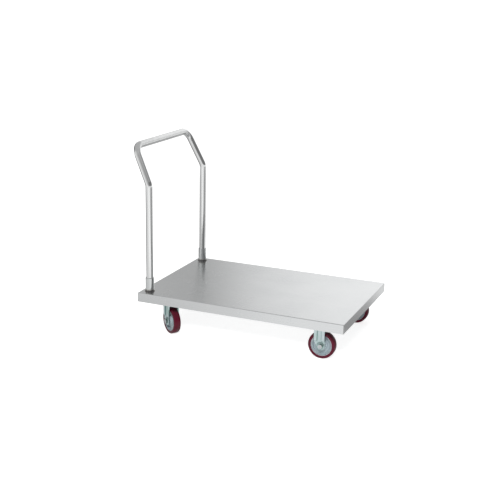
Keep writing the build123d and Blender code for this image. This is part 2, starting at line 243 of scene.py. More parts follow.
# The broad polishing lines, as a share of the fine ones' frequency
BROAD_LINES = (0.3, 0.12, 0.12)
HAIRLINE_ANGLES = (0.35, 1.9)
HAIRLINE_STRETCH = (0.06, 1.0, 1.0)
HAIRLINE_WIDTH = 0.006
SMUDGE_WARP = (0.12, 0.12, 0.12)
SMUDGE_START = 0.45
SMUDGE_END = 0.6
SMUDGE_SPREAD = 0.25
WORN_RADIUS = 0.6 * MM
# Tints of the oxide beside a weld, by share of its reach
HEAT_TINTS = (
    (0.0, srgb(92, 94, 98)), (0.25, srgb(116, 116, 120)), (0.5, srgb(150, 144, 136)),
    (0.75, srgb(196, 190, 174)), (1.0, srgb(226, 226, 222)))


def grain_group():
    """Fine polishing lines: long in the direction in which the frequency is low."""
    group, tree, given, end = new_group(
        "polish_grain",
        [("Place", VECTOR, None), ("Frequency", VECTOR, (20.0, 900.0, 900.0))],
        [("Lines", FLOAT), ("Height", FLOAT)])
    place = tree.stretch(given["Place"], given["Frequency"])
    fine = tree.noise(place, detail=2.0, rough=0.6)
    broad = tree.noise(tree.stretch(place, BROAD_LINES), detail=2.0)
    tree.put(tree.plus(tree.times(fine, 0.5), tree.times(broad, 0.5)), end["Lines"])
    tree.put(fine, end["Height"])
    return group


def scratch_group():
    """Sparse hairline scratches in two directions."""
    group, tree, given, end = new_group(
        "hairline_scratches",
        [("Place", VECTOR, None), ("Scale", FLOAT, 60.0), ("Amount", FLOAT, 0.5)],
        [("Scratch", FLOAT)])
    patches = tree.ramp(tree.noise(given["Place"], 9.0, detail=2.0), 0.48, 0.62)
    lines = []
    for angle in HAIRLINE_ANGLES:
        turned = tree.add("ShaderNodeVectorRotate", {"Vector": given["Place"], "Angle": angle})
        long_way = tree.stretch(turned.outputs[0], HAIRLINE_STRETCH)
        streak = tree.noise(long_way, given["Scale"], rough=0.75)
        distance = tree.math("ABSOLUTE", tree.math("SUBTRACT", streak, 0.5))
        lines.append(tree.ramp(distance, 0.0, HAIRLINE_WIDTH, 1.0, 0.0))
    both = tree.math("MAXIMUM", *lines)
    tree.put(tree.times(tree.times(both, patches), given["Amount"]), end["Scratch"])
    return group


def smudge_group():
    """Broad cloudy patches, as wiping and handling leave them."""
    group, tree, given, end = new_group(
        "wiped_smudges",
        [("Place", VECTOR, None), ("Scale", FLOAT, 6.0), ("Sharpness", FLOAT, 0.5)],
        [("Smudge", FLOAT)])
    warp = tree.add("ShaderNodeTexNoise", {"Vector": given["Place"], "Scale": given["Scale"]})
    shift = tree.stretch(warp.outputs["Color"], SMUDGE_WARP)
    moved = tree.vector("ADD", given["Place"], shift)
    cloud = tree.noise(moved, given["Scale"], detail=4.0, rough=0.6)
    spread = tree.times(tree.inverse(given["Sharpness"]), SMUDGE_SPREAD)
    low = tree.math("SUBTRACT", SMUDGE_START, spread)
    high = tree.plus(SMUDGE_END, spread)
    tree.put(tree.ramp(cloud, low, high), end["Smudge"])
    return group


def edge_group():
    """Where a piece has a sharp outer edge, broken up by a little noise."""
    group, tree, given, end = new_group(
        "worn_edges",
        [("Place", VECTOR, None), ("Amount", FLOAT, 1.0)],
        [("Edge", FLOAT)])
    soft = tree.add("ShaderNodeBevel", {"Radius": WORN_RADIUS}, samples=4).outputs[0]
    flat = tree.add("ShaderNodeNewGeometry").outputs["Normal"]
    apart = tree.inverse(tree.vector("DOT_PRODUCT", soft, flat))
    edge = tree.ramp(apart, 0.01, 0.12)
    broken = tree.ramp(tree.noise(given["Place"], 140.0, rough=0.7), 0.35, 0.6)
    tree.put(tree.times(tree.times(edge, broken), given["Amount"]), end["Edge"])
    return group


def dust_group():
    """Dust that settles on upward faces and gathers in corners."""
    group, tree, given, end = new_group(
        "settled_dust",
        [("Place", VECTOR, None), ("Reach", FLOAT, 6 * MM), ("Corners", FLOAT, 0.6),
         ("Tops", FLOAT, 0.2)],
        [("Dust", FLOAT)])
    open_share = tree.add("ShaderNodeAmbientOcclusion", {"Distance": given["Reach"]}, samples=4)
    corner = tree.ramp(open_share.outputs["AO"], 0.85, 0.3)
    upward = tree.parts(tree.add("ShaderNodeNewGeometry").outputs["Normal"])["Z"]
    top = tree.ramp(upward, 0.3, 0.95)
    speck = tree.ramp(tree.noise(given["Place"], 90.0, detail=4.0, rough=0.7), 0.3, 0.7)
    settled = tree.plus(tree.times(corner, given["Corners"]), tree.times(top, given["Tops"]))
    tree.put(tree.math("MULTIPLY", settled, tree.plus(0.4, speck), clamp=True), end["Dust"])
    return group


def heat_group():
    """The oxide tints that a weld leaves on stainless steel, by distance from the bead."""
    group, tree, given, end = new_group(
        "weld_heat",
        [("Place", VECTOR, None), ("Distance", FLOAT, 0.0), ("Reach", FLOAT, 10 * MM)],
        [("Tint", COLOUR), ("Amount", FLOAT)])
    wobble = tree.times(tree.math("SUBTRACT", tree.noise(given["Place"], 160.0), 0.5), 0.5)
    share = tree.plus(tree.math("DIVIDE", given["Distance"], given["Reach"]), wobble)
    tree.put(tree.stops(share, HEAT_TINTS), end["Tint"])
    tree.put(tree.ramp(share, 0.25, 1.0, 1.0, 0.0), end["Amount"])
    return group


GRAIN = grain_group()
SCRATCHES = scratch_group()
SMUDGES = smudge_group()
EDGES = edge_group()
DUST = dust_group()
HEAT = heat_group()


# Materials. A finish's two greys are its darker and its lighter shade, and its heat is how
# far a weld's tint reaches.

DUST_COLOUR = srgb(150, 146, 138)
BRIGHT_STEEL = srgb(240, 240, 240)

DECK_GREYS = (srgb(221, 223, 224), srgb(231, 232, 232))
DECK_WIPED = srgb(216, 219, 221)
DECK_HEAT = 7 * MM
DECK_WAVES = (2.2, 3.4, 3.4)

FRAME_GREYS = (srgb(186, 189, 191), srgb(206, 208, 209))
FRAME_WIPED = srgb(176, 178, 178)
FRAME_EDGE = srgb(230, 231, 231)

HANDLE_GREYS = (srgb(228, 230, 230), BRIGHT_STEEL)
HANDLE_TOUCHED = srgb(206, 208, 208)
HANDLE_SCRATCHED = srgb(214, 216, 216)
# Depths below the crossbar's top between which finger marks grow
TOUCHED_START = 140 * MM
TOUCHED_END = 30 * MM

COLLAR_GREYS = (srgb(214, 217, 217), srgb(230, 232, 232))
COLLAR_HEAT = 16 * MM

WELD_TINTS = (
    (0.3, srgb(100, 98, 98)), (0.45, srgb(144, 138, 130)), (0.55, srgb(156, 158, 164)),
    (0.7, srgb(196, 194, 188)))
WELD_EDGE = srgb(214, 214, 212)

# Darker green tint in a plate's hollows: partly the passivated film, partly painted shade
ZINC_FILM_AND_SHADE = srgb(112, 158, 150)
ZINC_FILM_AND_SHADE_REACH = 18 * MM
ZINC_SPARKLE = srgb(240, 244, 246)
ZINC_EDGE = srgb(238, 240, 240)

BALL_STEEL = srgb(212, 213, 215)
BALL_GREASE = srgb(150, 138, 112)

TREAD_REDS = (srgb(80, 0, 28), srgb(98, 4, 38))
TREAD_SCUFFED = srgb(88, 20, 38)
TREAD_SCRATCHED = srgb(132, 62, 72)
TREAD_SPECULAR = 0.24
TREAD_COAT = 0.1
TREAD_COAT_ROUGHNESS = 0.2
# Radii between which a tread's side turns into its rolling face
ROLLING_START = 60.6 * MM
ROLLING_END = 62.1 * MM

CORE_GREYS = (srgb(163, 179, 186), srgb(177, 192, 197))
CORE_CLOUD = srgb(184, 188, 194)
CORE_EDGE = srgb(206, 214, 217)
CORE_SCRATCHED = srgb(202, 208, 211)
CORE_BOND = srgb(200, 166, 178)
CORE_GRIME = srgb(96, 96, 98)
# Radii between which the bond to the tread begins to show
BOND_START = 46.9 * MM
BOND_END = 48.6 * MM


def empty_material(name):
    """A material with nothing but its output: it, its tree and the output's inputs."""
    material = bpy.data.materials.new(name)
    material.use_nodes = True
    material.node_tree.nodes.clear()
    tree = Tree(material.node_tree)
    return material, tree, tree.add("ShaderNodeOutputMaterial").inputs


def new_material(name, metallic):
    """A material with a Principled BSDF: it, its tree, the shader's inputs and the place."""
    material, tree, end = empty_material(name)
    shader = tree.add("ShaderNodeBsdfPrincipled", {"Metallic": metallic})
    tree.put(shader.outputs[0], end["Surface"])
    place = tree.add("ShaderNodeTexCoord").outputs["Object"]
    return material, tree, shader.inputs, place


def dress(tree, surface, colour, rough, height, depth):
    """Give a surface its colour, its roughness and a bump of the given depth."""
    tree.put(colour, surface["Base Color"])
    tree.put(rough, surface["Roughness"])
    tree.put(tree.bump(height, depth), surface["Normal"])


def ring_distance(tree, place, radius):
    """Distance across the floor plan from the circles round the two posts."""
    mirrored = tree.vector("ABSOLUTE", tree.stretch(place, FLAT))
    to_post = tree.vector("DISTANCE", mirrored, (abs(POST_X), POST_Y, 0.0))
    rear_half = tree.math("LESS_THAN", tree.parts(place)["X"], 0.0)
    return tree.plus(tree.math("ABSOLUTE", tree.math("SUBTRACT", to_post, radius)),
                     tree.inverse(rear_half))


def deck_steel():
    """Satin stainless sheet, polished along its length, with wiping marks and hairlines."""
    material, tree, surface, place = new_material("deck_steel", 1.0)
    grain = tree.use(GRAIN, place=place, frequency=(14.0, 1500.0, 1500.0))
    smudge = tree.use(SMUDGES, place=place, scale=2.6, sharpness=0.3)["Smudge"]
    scratch = tree.use(SCRATCHES, place=place, scale=55.0, amount=0.45)["Scratch"]
    heat = tree.use(HEAT, place=place, reach=DECK_HEAT,
                    distance=ring_distance(tree, place, COLLAR_RADIUS))
    wave = tree.noise(tree.stretch(place, DECK_WAVES), detail=1.0)
    steel = tree.coats(
        tree.mix(grain["Lines"], *DECK_GREYS), (smudge, 0.35, DECK_WIPED),
        (scratch, 0.5, BRIGHT_STEEL), (heat["Amount"], 1.0, heat["Tint"]))
    rough = tree.total(
        0.2, (grain["Lines"], 0.07), (smudge, 0.045), (scratch, 0.12), (heat["Amount"], 0.15))
    height = tree.total(0.0, (grain["Height"], 0.004), (wave, 0.9), (scratch, -0.02))
    dress(tree, surface, steel, rough, height, 0.5 * MM)
    return material


def frame_steel():
    """Mill-finish sheet of the channels and ribs under the deck."""
    material, tree, surface, place = new_material("frame_steel", 1.0)
    grain = tree.use(GRAIN, place=place, frequency=(260.0, 420.0, 420.0))
    smudge = tree.use(SMUDGES, place=place, scale=8.0, sharpness=0.5)["Smudge"]
    edge = tree.use(EDGES, place=place, amount=0.6)["Edge"]
    dust = tree.use(DUST, place=place, reach=12 * MM, corners=0.5, tops=0.35)["Dust"]
    steel = tree.coats(
        tree.mix(grain["Lines"], *FRAME_GREYS), (smudge, 0.4, FRAME_WIPED),
        (edge, 1.0, FRAME_EDGE), (dust, 0.5, DUST_COLOUR))
    rough = tree.total(0.34, (smudge, 0.08), (dust, 0.3))
    dress(tree, surface, steel, rough, grain["Height"], 0.02 * MM)
    return material


def handle_steel():
    """Bright tube: polishing rings round it, finger marks on the crossbar and raked legs."""
    material, tree, surface, place = new_material("handle_steel", 1.0)
    along = tree.add("ShaderNodeAttribute", attribute_name="along").outputs["Fac"]
    length = tree.add("ShaderNodeCombineXYZ", {"X": along}).outputs[0]
    stretched = tree.vector("ADD", tree.stretch(length, (2600.0, 0.0, 0.0)),
                            tree.stretch(place, (26.0, 26.0, 26.0)))
    rings = tree.noise(stretched, detail=2.0, rough=0.6)
    height = tree.parts(place)["Z"]
    high = tree.ramp(height, HANDLE_HIGH.z - TOUCHED_START, HANDLE_HIGH.z - TOUCHED_END)
    hands = tree.times(high, tree.use(SMUDGES, place=place, scale=22.0, sharpness=0.7)["Smudge"])
    wiped = tree.use(SMUDGES, place=place, scale=7.0, sharpness=0.3)["Smudge"]
    scratch = tree.use(SCRATCHES, place=place, scale=130.0, amount=0.4)["Scratch"]
    steel = tree.coats(
        tree.mix(rings, *HANDLE_GREYS), (hands, 0.3, HANDLE_TOUCHED),
        (scratch, 1.0, HANDLE_SCRATCHED))
    rough = tree.total(0.11, (rings, 0.05), (wiped, 0.025), (hands, 0.1), (scratch, 0.15))
    dress(tree, surface, steel, rough, rings, 0.004 * MM)
    return material


def collar_steel():
    """Turned stainless collars, tinted dark at the foot by their weld to the deck."""
    material, tree, surface, place = new_material("collar_steel", 1.0)
    grain = tree.use(GRAIN, place=place, frequency=(60.0, 60.0, 3200.0))
    smudge = tree.use(SMUDGES, place=place, scale=30.0, sharpness=0.4)["Smudge"]
    edge = tree.use(EDGES, place=place, amount=0.5)["Edge"]
    height = tree.math("SUBTRACT", tree.parts(place)["Z"], DECK_TOP)
    heat = tree.use(HEAT, place=place, reach=COLLAR_HEAT,
                    distance=tree.math("MAXIMUM", height, 0.0))
    steel = tree.coats(
        tree.mix(grain["Lines"], *COLLAR_GREYS), (edge, 0.6, BRIGHT_STEEL),
        (heat["Amount"], 1.0, heat["Tint"]))
    rough = tree.total(0.16, (grain["Lines"], 0.08), (smudge, 0.05), (heat["Amount"], 0.16))
    dress(tree, surface, steel, rough, grain["Height"], 0.01 * MM)
    return material


def weld_steel():
    """Weld bead: grey oxide on the ripples, brushed bright on their crests."""
    material, tree, surface, place = new_material("weld_steel", 1.0)
    patch = tree.noise(place, 220.0, detail=4.0, rough=0.65)
    edge = tree.use(EDGES, place=place, amount=1.0)["Edge"]
    steel = tree.mix(edge, tree.stops(patch, WELD_TINTS), WELD_EDGE)
    rough = tree.ramp(patch, 0.3, 0.7, 0.5, 0.32)
    dress(tree, surface, steel, rough, tree.noise(place, 900.0, rough=0.7), 0.05 * MM)
    return material


def zinc(name, dark, light, blush, roughness, scale, wear):
    """Zinc plating: a cloudy passivated film, fine crystals, bright worn edges and dust, with
    hollows darkened to a greenish tint, partly the film's own colour and partly painted shade."""
    material, tree, surface, place = new_material(name, 1.0)
    film = tree.use(SMUDGES, place=place, scale=scale, sharpness=0.2)["Smudge"]
    tone = tree.noise(place, scale * 0.6, detail=2.0)
    blushed = tree.ramp(tone, 0.48, 0.66, 0.0, 0.55)
    crystals = tree.add("ShaderNodeTexVoronoi", {"Vector": place, "Scale": 900.0}).outputs["Color"]
    sparkle = tree.parts(crystals)["X"]
    edge = tree.use(EDGES, place=place, amount=wear)["Edge"]
    dust = tree.use(DUST, place=place, reach=7 * MM, corners=0.55, tops=0.25)["Dust"]
    # Painted shade: hollows that the occlusion finds turn darker and greener, partly the film's own tint
    hollow = tree.add("ShaderNodeAmbientOcclusion", {"Distance": ZINC_FILM_AND_SHADE_REACH}, samples=4)
    pooled_film_and_shade = tree.ramp(hollow.outputs["AO"], 0.985, 0.8)
    plate = tree.coats(
        tree.mix(film, dark, light), (pooled_film_and_shade, 0.75, ZINC_FILM_AND_SHADE), (blushed, 1.0, blush),
        (sparkle, 0.12, ZINC_SPARKLE), (edge, 0.7, ZINC_EDGE), (dust, 0.45, DUST_COLOUR))
    rough = tree.total(roughness, (film, 0.08), (sparkle, 0.05), (dust, 0.3))
    pits = tree.noise(place, 1400.0, detail=2.0, rough=0.6)
    dress(tree, surface, plate, rough, pits, 0.015 * MM)
    return material


def bearing_steel():
    """Hardened balls and rings under a smear of grease."""
    material, tree, surface, place = new_material("bearing_steel", 1.0)
    grease = tree.use(SMUDGES, place=place, scale=90.0, sharpness=0.5)["Smudge"]
    steel = tree.mix(grease, BALL_STEEL, BALL_GREASE)
    rough = tree.ramp(grease, 0.0, 1.0, 0.08, 0.22)
    dress(tree, surface, steel, rough, tree.noise(place, 300.0, detail=2.0), 0.03 * MM)
    return material


def wheel_coordinates(tree):
    """A wheel's own coordinates, and the distance from its axle."""
    place = tree.add("ShaderNodeAttribute", attribute_name="wheel_place").outputs["Vector"]
    radius = tree.vector("LENGTH", tree.stretch(place, FLAT))
    return place, radius


def tread_rubber():
    """Dark red polyurethane: glossy sides, a scuffed and dusty rolling face."""
    material, tree, surface, place = new_material("tread", 0.0)
    own, radius = wheel_coordinates(tree)
    rolling = tree.ramp(radius, ROLLING_START, ROLLING_END)
    cloud = tree.use(SMUDGES, place=own, scale=26.0, sharpness=0.3)["Smudge"]
    scuffs = tree.noise(tree.stretch(own, (90.0, 90.0, 700.0)), detail=4.0, rough=0.7)
    worn = tree.times(rolling, tree.ramp(scuffs, 0.35, 0.7))
    scratch = tree.use(SCRATCHES, place=own, scale=150.0, amount=0.7)["Scratch"]
    dust = tree.use(DUST, place=place, reach=6 * MM, corners=0.4, tops=0.1)["Dust"]
    red = tree.coats(
        tree.mix(cloud, *TREAD_REDS), (worn, 0.4, TREAD_SCUFFED),
        (scratch, 0.35, TREAD_SCRATCHED), (dust, 0.2, DUST_COLOUR))
    rough = tree.total(0.27, (cloud, 0.06), (worn, 0.3), (dust, 0.25))
    pits = tree.noise(own, 1100.0, rough=0.6)
    height = tree.total(0.0, (pits, tree.plus(0.25, rolling)), (worn, 0.6))
    dress(tree, surface, red, rough, height, 0.06 * MM)
    tree.put(TREAD_SPECULAR, surface["Specular IOR Level"])
    tree.put(TREAD_COAT, surface["Coat Weight"])
    tree.put(TREAD_COAT_ROUGHNESS, surface["Coat Roughness"])
    return material


def core_plastic():
    """Pale blue-grey moulded nylon with a matt grain and grime in its rings."""
    material, tree, surface, place = new_material("wheel_core", 0.0)
    own, radius = wheel_coordinates(tree)
    flow = tree.noise(tree.stretch(own, (34.0, 34.0, 90.0)))
    cloud = tree.use(SMUDGES, place=own, scale=30.0, sharpness=0.2)["Smudge"]
    scratch = tree.use(SCRATCHES, place=own, scale=190.0, amount=0.6)["Scratch"]
    edge = tree.use(EDGES, place=own, amount=0.5)["Edge"]
    dust = tree.use(DUST, place=place, reach=8 * MM, corners=0.9, tops=0.1)["Dust"]
    bond = tree.ramp(radius, BOND_START, BOND_END)
    nylon = tree.coats(
        tree.mix(tree.ramp(flow, 0.4, 0.6), *CORE_GREYS), (cloud, 0.3, CORE_CLOUD),
        (edge, 0.5, CORE_EDGE), (scratch, 0.3, CORE_SCRATCHED), (bond, 0.6, CORE_BOND),
        (dust, 0.55, CORE_GRIME))
    rough = tree.total(0.36, (dust, 0.3))
    pits = tree.noise(own, 1300.0, detail=2.0, rough=0.6)
    dress(tree, surface, nylon, rough, pits, 0.04 * MM)
    return material


MATERIALS = {
    "deck_steel": deck_steel(),
    "frame_steel": frame_steel(),
    "handle_steel": handle_steel(),
    "collar_steel": collar_steel(),
    "caster_zinc": zinc("caster_zinc", dark=srgb(188, 204, 207), light=srgb(214, 228, 230),
                        blush=srgb(168, 208, 194), roughness=0.27, scale=26.0, wear=0.9),
    "fastener_zinc": zinc("fastener_zinc", dark=srgb(178, 184, 188), light=srgb(212, 216, 218),
                          blush=srgb(206, 204, 182), roughness=0.22, scale=60.0, wear=1.0),
    "dust_cap": zinc("dust_cap", dark=srgb(178, 194, 202), light=srgb(206, 220, 226),
                     blush=srgb(192, 206, 212), roughness=0.28, scale=45.0, wear=0.8),
    "bearing_steel": bearing_steel(),
    "tread": tread_rubber(),
    "wheel_core": core_plastic(),
}
WELD = weld_steel()


def paint_nodes():
    """Give every node the material of its slot."""
    for part in frame["record"]["subparts"]:
        NODES[part["node"]].material_slots[0].material = MATERIALS[part["material_slot"]]


# Geometry nodes: a tube or bead swept along a path of edges

TUBE_RADIUS = 16 * MM
BEND_RADIUS = 50 * MM
BEND_STEPS = 14
TUBE_SIDES = 64
BEAD_RADIUS = 2 * MM
BEAD_STEP = 0.3 * MM
BEAD_SIDES = 10
BEAD_SEED = 3.0
RIPPLE_PITCH = 1.6 * MM
RIPPLE_DEPTH = 0.16
RIPPLE_DRIFT = 1.5
DRIFT_SCALE = 240.0
# The thinnest share of a bead's radius, and how much more it may have
BEAD_THINNEST = 0.88
BEAD_WANDER = 0.24
MERGE_DISTANCE = 0.001 * MM


def sweep_tree(name, inputs):
    """A geometry tree with a path, a material and the named sizes."""
    group = bpy.data.node_groups.new(name, "GeometryNodeTree")
    add_sockets(group, [("Path", GEOMETRY, None), *inputs, ("Material", MATERIAL, None)],
                [("Mesh", GEOMETRY)])
    tree = Tree(group)
    given = tree.add("NodeGroupInput").outputs
    path = tree.add("GeometryNodeMeshToCurve", {"Mesh": given["Path"]}).outputs["Curve"]
    return group, tree, given, path


def end_tree(tree, given, mesh):
    """Smooth shading, realized instances and the material, as the tree's output."""
    smooth = tree.add("GeometryNodeSetShadeSmooth", {"Geometry": mesh}).outputs[0]
    real = tree.add("GeometryNodeRealizeInstances", {"Geometry": smooth}).outputs[0]
    finished = tree.add("GeometryNodeSetMaterial", {
        "Geometry": real, "Material": given["Material"]}).outputs[0]
    tree.put(finished, tree.add("NodeGroupOutput").inputs["Mesh"])


def bent_tube_tree():
    """A tube with rounded bends, which carries its length along as an attribute."""
    group, tree, given, path = sweep_tree("bent_tube", [
        ("Tube Radius", FLOAT, TUBE_RADIUS), ("Bend Radius", FLOAT, BEND_RADIUS),
        ("Bend Steps", INTEGER, BEND_STEPS), ("Sides", INTEGER, TUBE_SIDES)])
    bent = tree.add("GeometryNodeFilletCurve", {
        "Curve": path, "Count": given["Bend Steps"], "Radius": given["Bend Radius"]},
        mode="POLY").outputs["Curve"]
    length = tree.add("GeometryNodeSplineParameter").outputs["Length"]
    marked = tree.add("GeometryNodeStoreNamedAttribute", {
        "Geometry": bent, "Name": "along", "Value": length}, domain="POINT").outputs["Geometry"]
    section = tree.add("GeometryNodeCurvePrimitiveCircle", {
        "Resolution": given["Sides"], "Radius": given["Tube Radius"]}).outputs["Curve"]
    tube = tree.add("GeometryNodeCurveToMesh", {
        "Curve": marked, "Profile Curve": section, "Fill Caps": True}).outputs["Mesh"]
    end_tree(tree, given, tube)
    return group


def weld_bead_tree():
    """A weld bead: overlapping ripples along the path, slightly uneven."""
    group, tree, given, path = sweep_tree("weld_bead", [
        ("Bead Radius", FLOAT, BEAD_RADIUS), ("Ripple Pitch", FLOAT, RIPPLE_PITCH),
        ("Ripple Depth", FLOAT, RIPPLE_DEPTH), ("Step", FLOAT, BEAD_STEP),
        ("Sides", INTEGER, BEAD_SIDES), ("Seed", FLOAT, BEAD_SEED)])
    fine = tree.add("GeometryNodeResampleCurve", {
        "Curve": path, "Length": given["Step"]}, mode="LENGTH").outputs["Curve"]
    length = tree.add("GeometryNodeSplineParameter").outputs["Length"]
    place = tree.add("GeometryNodeInputPosition").outputs[0]
    drift = tree.add("ShaderNodeTexNoise", {
        "Vector": place, "W": given["Seed"], "Scale": DRIFT_SCALE, "Detail": 2.0},
        noise_dimensions="4D").outputs["Fac"]
    turns = tree.plus(tree.math("DIVIDE", length, given["Ripple Pitch"]),
                      tree.times(drift, RIPPLE_DRIFT))
    middle = tree.math("SUBTRACT", tree.math("FRACT", turns), 0.5)
    dip = tree.times(tree.times(middle, middle), 4.0)
    shape = tree.math("SUBTRACT", 1.0, tree.times(dip, given["Ripple Depth"]))
    uneven = tree.plus(BEAD_THINNEST, tree.times(drift, BEAD_WANDER))
    radius = tree.times(tree.times(shape, uneven), given["Bead Radius"])
    section = tree.add("GeometryNodeCurvePrimitiveCircle", {
        "Resolution": given["Sides"], "Radius": 1.0}).outputs["Curve"]
    bead = tree.add("GeometryNodeCurveToMesh", {
        "Curve": fine, "Profile Curve": section, "Scale": radius,
        "Fill Caps": True}).outputs["Mesh"]
    end_tree(tree, given, bead)
    return group


def link_mesh(name, mesh):
    """An object at the origin that holds the mesh."""
    piece = bpy.data.objects.new(name, mesh)
    bpy.context.scene.collection.objects.link(piece)
    return piece


def face_outwards(mesh):
    """Merge doubles and turn every face outwards."""
    work = bmesh.new()
    work.from_mesh(mesh)
    bmesh.ops.remove_doubles(work, verts=work.verts, dist=MERGE_DISTANCE)
    bmesh.ops.recalc_face_normals(work, faces=work.faces)
    work.to_mesh(mesh)
    work.free()


def sweep(name, tree, points, edges, material, **sizes):
    """Run a sweep tree along edges between points, and keep the result as a plain mesh."""
    path = bpy.data.meshes.new(name + "_path")
    path.from_pydata(points, edges, [])
    source = link_mesh(name + "_path", path)
    modifier = source.modifiers.new("sweep", "NODES")
    modifier.node_group = tree
    values = {label.replace("_", " ").title(): value for label, value in sizes.items()}
    values["Material"] = material
    for socket in tree.interface.items_tree:
        if socket.in_out == "INPUT" and socket.name in values:
            modifier[socket.identifier] = values[socket.name]
    graph = bpy.context.evaluated_depsgraph_get()
    mesh = bpy.data.meshes.new_from_object(source.evaluated_get(graph))
    bpy.data.objects.remove(source)
    bpy.data.meshes.remove(path)
    face_outwards(mesh)
    return link_mesh(name, mesh)


# Handle. Each leg leans inwards by the taper, from its bend up to the crossbar.

LOWER_BEND_HEIGHT = 699.5 * MM
CROSSBAR_TAPER = 20 * MM


def make_handle(tree):
    """The bent tube, standing in its two collars."""
    top = HANDLE_HIGH.z - TUBE_RADIUS
    top_x = HANDLE_LOW.x + TUBE_RADIUS
    top_y = POST_Y - CROSSBAR_TAPER
    half = [(POST_X, POST_Y, HANDLE_LOW.z), (POST_X, POST_Y, LOWER_BEND_HEIGHT),
            (top_x, top_y, top)]
    points = half + [(x, -y, z) for x, y, z in reversed(half)]
    edges = [(index, index + 1) for index in range(len(points) - 1)]
    handle = sweep("handle_tube", tree, points, edges, MATERIALS["handle_steel"],
                   tube_radius=TUBE_RADIUS, bend_radius=BEND_RADIUS)
    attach(handle, "platform")
    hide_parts("push_handle")


# Welds

COLLAR_BEAD = 2.2 * MM
FORK_BEAD = 2.2 * MM
# Where a fork's two beads run, to each side of its middle, and how long they are
FORK_HALF = 25 * MM
CROWN_LENGTH = 50 * MM
DECK_THICKNESS = 1.5 * MM
RIB_COUNT = 3
STITCH_BEAD = 2.0 * MM
STITCH_LENGTH = 26 * MM
STITCH_PITCH = 105 * MM
CIRCLE_STEPS = 96
# How much of a bead's radius lies off the corner that it fills
COLLAR_BEAD_OUT = 0.25
COLLAR_BEAD_UP = 0.1
STITCH_BEAD_DOWN = 0.3
FORK_BEAD_DOWN = 0.5


def make_weld(name, tree, points, edges, radius):
    """A bead along the edges, which rides on the platform."""
    bead = sweep(name, tree, points, edges, WELD, bead_radius=radius)
    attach(bead, "platform")


def collar_weld(tree, side_name):
    """The bead round a collar's foot, on the deck."""
    radius = COLLAR_RADIUS + COLLAR_BEAD_OUT * COLLAR_BEAD
    points = []
    for step in range(CIRCLE_STEPS):
        angle = 2 * math.pi * step / CIRCLE_STEPS
        points.append((POST_X + radius * math.cos(angle),
                       SIDES[side_name] * POST_Y + radius * math.sin(angle),
                       DECK_TOP + COLLAR_BEAD_UP * COLLAR_BEAD))
    edges = [(step, (step + 1) % CIRCLE_STEPS) for step in range(CIRCLE_STEPS)]
    make_weld("collar_weld_" + side_name, tree, points, edges, COLLAR_BEAD)


def stitch_row(start, end):
    """Short bead paths, evenly spaced between two ends of a seam."""
    seam = end - start
    count = max(2, int(seam.length / STITCH_PITCH))
    along = seam.normalized()
    pairs = []
    for index in range(count):
        middle = start + seam * (index + 0.5) / count
        pairs.append((middle - along * STITCH_LENGTH / 2, middle + along * STITCH_LENGTH / 2))
    return pairs


def frame_welds(tree):
    """Stitch beads that hold the channels and ribs under the sheet."""
    level = DECK_TOP - DECK_THICKNESS - STITCH_BEAD_DOWN * STITCH_BEAD
    pairs = []
    for node in ("cross_channel_rear", "cross_channel_front"):
        low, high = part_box(node)
        for x in (low[0], high[0]):
            pairs += stitch_row(Vector((x, low[1], level)), Vector((x, high[1], level)))
    for index in range(RIB_COUNT):
        low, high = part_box("deck_rib_" + str(index + 1))
        for y in (low[1], high[1]):
            pairs += stitch_row(Vector((low[0], y, level)), Vector((high[0], y, level)))
    points = [point for pair in pairs for point in pair]
    edges = [(2 * index, 2 * index + 1) for index in range(len(pairs))]
    make_weld("frame_welds", tree, points, edges, STITCH_BEAD)


def fork_welds(tree, side_name):
    """The two beads between a fixed fork and its plate."""
    low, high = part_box("fixed_fork_" + side_name)
    middle_y = (low[1] + high[1]) / 2
    points = []
    for y in (middle_y - FORK_HALF, middle_y + FORK_HALF):
        for x in (low[0], low[0] + CROWN_LENGTH):
            points.append((x, y, high[2] - FORK_BEAD_DOWN * FORK_BEAD))
    make_weld("fork_welds_" + side_name, tree, points, [(0, 1), (2, 3)], FORK_BEAD)


# Wheels, turned about the axle from a rounded outline

LATHE_STEPS = 96
ARC_STEPS = 6
SHARP_DEGREES = 40


def rounded_outline(corners):
    """A closed outline of (radius, place along the axle, rounding), with arcs at its corners."""
    outline = []
    for index, (radius, along, rounding) in enumerate(corners):
        corner = Vector((radius, along))
        if rounding == 0:
            outline.append(corner)
            continue
        before = (Vector(corners[index - 1][:2]) - corner).normalized()
        after = (Vector(corners[(index + 1) % len(corners)][:2]) - corner).normalized()
        half = before.angle(after) / 2
        centre = corner + (before + after).normalized() * rounding / math.sin(half)
        start = corner + before * rounding / math.tan(half) - centre
        end = corner + after * rounding / math.tan(half) - centre
        turn = start.angle_signed(end)
        for step in range(ARC_STEPS + 1):
            arm = start.copy()
            arm.rotate(Matrix.Rotation(-turn * step / ARC_STEPS, 2))
            outline.append(centre + arm)
    return outline


